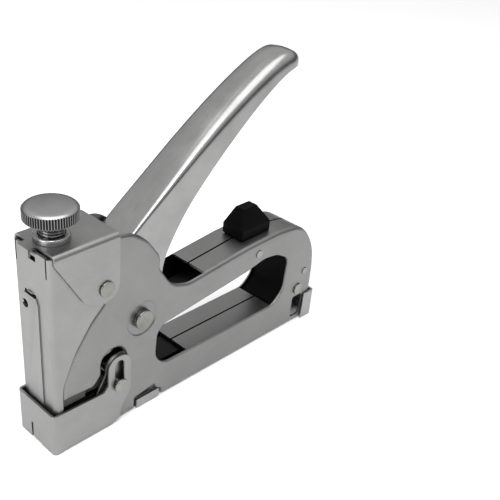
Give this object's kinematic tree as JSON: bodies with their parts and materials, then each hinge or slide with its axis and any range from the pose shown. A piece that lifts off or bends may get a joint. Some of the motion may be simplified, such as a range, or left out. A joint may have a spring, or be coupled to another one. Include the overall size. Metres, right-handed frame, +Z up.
{
  "type": "staple gun",
  "caption": "Hand staple gun with a pressed steel body, squeeze lever, power screw, sprung striker, swinging nose gate and slide-out staple magazine.",
  "frame": {"origin": "where the staple leaves the nose: front of the nose gate, mid width, on the surface worked on", "axes": "+X from the nose to the rear, +Y across the body to the side of the right shell, +Z up"},
  "size_m": [0.1674, 0.0294, 0.1462],
  "materials": {
    "body_steel": "satin plated",
    "lever_steel": "satin plated",
    "gate_steel": "satin plated",
    "bright_pins": "polished",
    "knob_steel": "bright, knurled rim",
    "block_plastic": "matte",
    "bumper_rubber": "dull",
    "guide_plastic": "matte",
    "hard_steel": "dark hardened",
    "spring_steel": "oiled",
    "magazine_steel": "satin plated",
    "pusher_steel": "satin",
    "staple_wire": "galvanised"
  },
  "bodies": {
    "frame": {"left_shell": "body_steel", "right_shell": "body_steel", "nose_cover": "body_steel", "top_cap": "body_steel", "cap_rivets": "bright_pins", "pivot_pin": "bright_pins", "block_pin": "bright_pins", "rear_pins": "bright_pins", "rear_spacer": "bright_pins", "gate_bracket": "gate_steel", "stop_block": "block_plastic", "power_nut": "knob_steel", "striker_guide": "guide_plastic", "bumper": "bumper_rubber", "staple_channel": "magazine_steel", "nose_guide": "magazine_steel", "staple_strip": "staple_wire", "main_spring": "spring_steel"},
    "lever": {"lever": "lever_steel", "pivot_bush": "bright_pins", "roller_pin": "bright_pins", "lift_roller": "bright_pins", "lever_spring": "spring_steel"},
    "striker": {"striker": "hard_steel", "driver_blade": "hard_steel"},
    "seat": {"spring_seat": "knob_steel"},
    "knob": {"power_knob": "knob_steel"},
    "gate_pin": {"gate_pin": "bright_pins"},
    "gate": {"nose_gate": "gate_steel"},
    "magazine": {"magazine_rail": "magazine_steel", "rear_clip": "magazine_steel", "pusher_rod": "magazine_steel", "pusher_spring": "spring_steel"},
    "pusher": {"pusher": "pusher_steel"}
  },
  "joints": [
    {"name": "lever_swing", "type": "hinge", "parent": "frame", "child": "lever", "pos_m": [0.0476, 0, 0.0484], "axis": [0, 1, 0], "range_deg": [0, 43], "stiffness_Nm_per_rad": 0.8, "springref_deg": -34.38},
    {"name": "striker_lift", "type": "slide", "parent": "frame", "child": "striker", "axis": [0, 0, 1], "range_m": [0, 0.0177], "deforming": ["main_spring"]},
    {"name": "seat_travel", "type": "slide", "parent": "frame", "child": "seat", "axis": [0, 0, -1], "range_m": [0, 0.00375]},
    {"name": "knob_turn", "type": "hinge", "parent": "seat", "child": "knob", "pos_m": [0.0121, 0, 0.1], "axis": [0, 0, -1], "range_deg": [0, 1080]},
    {"name": "gate_turn", "type": "hinge", "parent": "frame", "child": "gate_pin", "pos_m": [0.0344, 0, 0.0208], "axis": [0, 1, 0], "range_deg": [0, 30]},
    {"name": "gate_drop", "type": "slide", "parent": "gate_pin", "child": "gate", "axis": [0, 0, -1], "range_m": [0, 0.01]},
    {"name": "magazine_slide", "type": "slide", "parent": "frame", "child": "magazine", "axis": [1, 0, 0], "range_m": [0, 0.1]},
    {"name": "pusher_slide", "type": "slide", "parent": "magazine", "child": "pusher", "axis": [1, 0, 0], "range_m": [0, 0.06], "stiffness_N_per_m": 40, "springref_m": -0.02, "deforming": ["pusher_spring"]}
  ],
  "couplings": [
    {"joint": "striker_lift", "follows": "lever_swing", "m_per_rad": 0.02345},
    {"joint": "knob_turn", "follows": "seat_travel", "rad_per_m": 5026},
    {"joint": "gate_turn", "follows": "gate_drop", "rad_per_m": 52}
  ]
}
